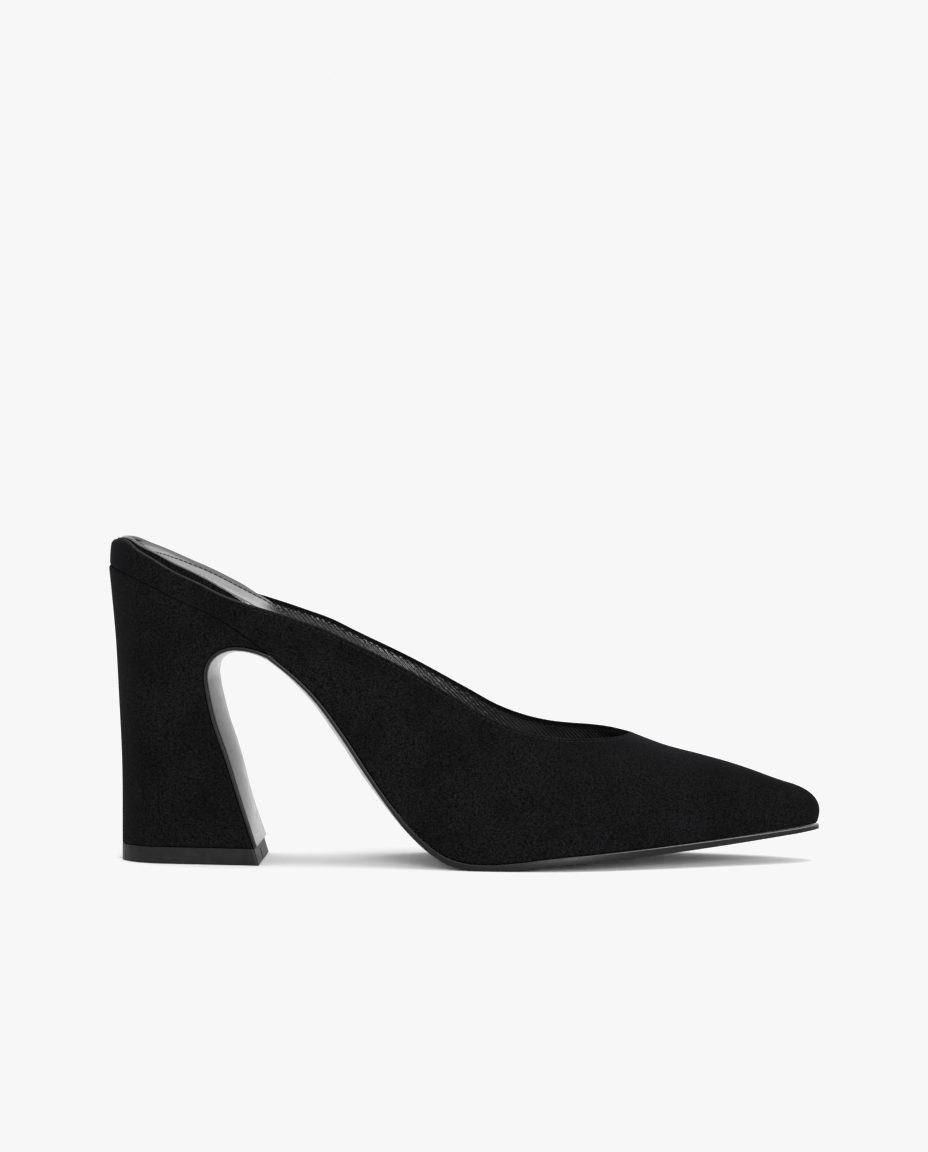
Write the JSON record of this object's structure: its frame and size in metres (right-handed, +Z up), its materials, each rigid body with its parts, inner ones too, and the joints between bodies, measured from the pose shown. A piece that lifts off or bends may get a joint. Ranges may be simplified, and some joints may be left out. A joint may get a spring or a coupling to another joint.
{
  "type": "mule shoe",
  "caption": "Pointed high-heeled mule: hollow suede upper with a V-shaped throat, covered insole, thin outsole bent round the arch, flared block heel and rubber top lift.",
  "frame": {"origin": "middle of the bounding box at the floor, shoe standing on its ball and top lift", "axes": "+X from heel to toe, +Y towards the inner side of the foot, +Z up"},
  "size_m": [0.2412, 0.077, 0.1106],
  "materials": {
    "suede": "matt black suede with a fine nap",
    "sock_leather": "smooth black leather with a soft shine",
    "sole_leather": "smooth finished black leather",
    "lift_rubber": "black rubber, satin"
  },
  "bodies": {
    "root": {"upper": "suede", "insole": "sock_leather", "outsole": "sole_leather", "heel_block": "suede", "top_lift": "lift_rubber"}
  },
  "joints": []
}
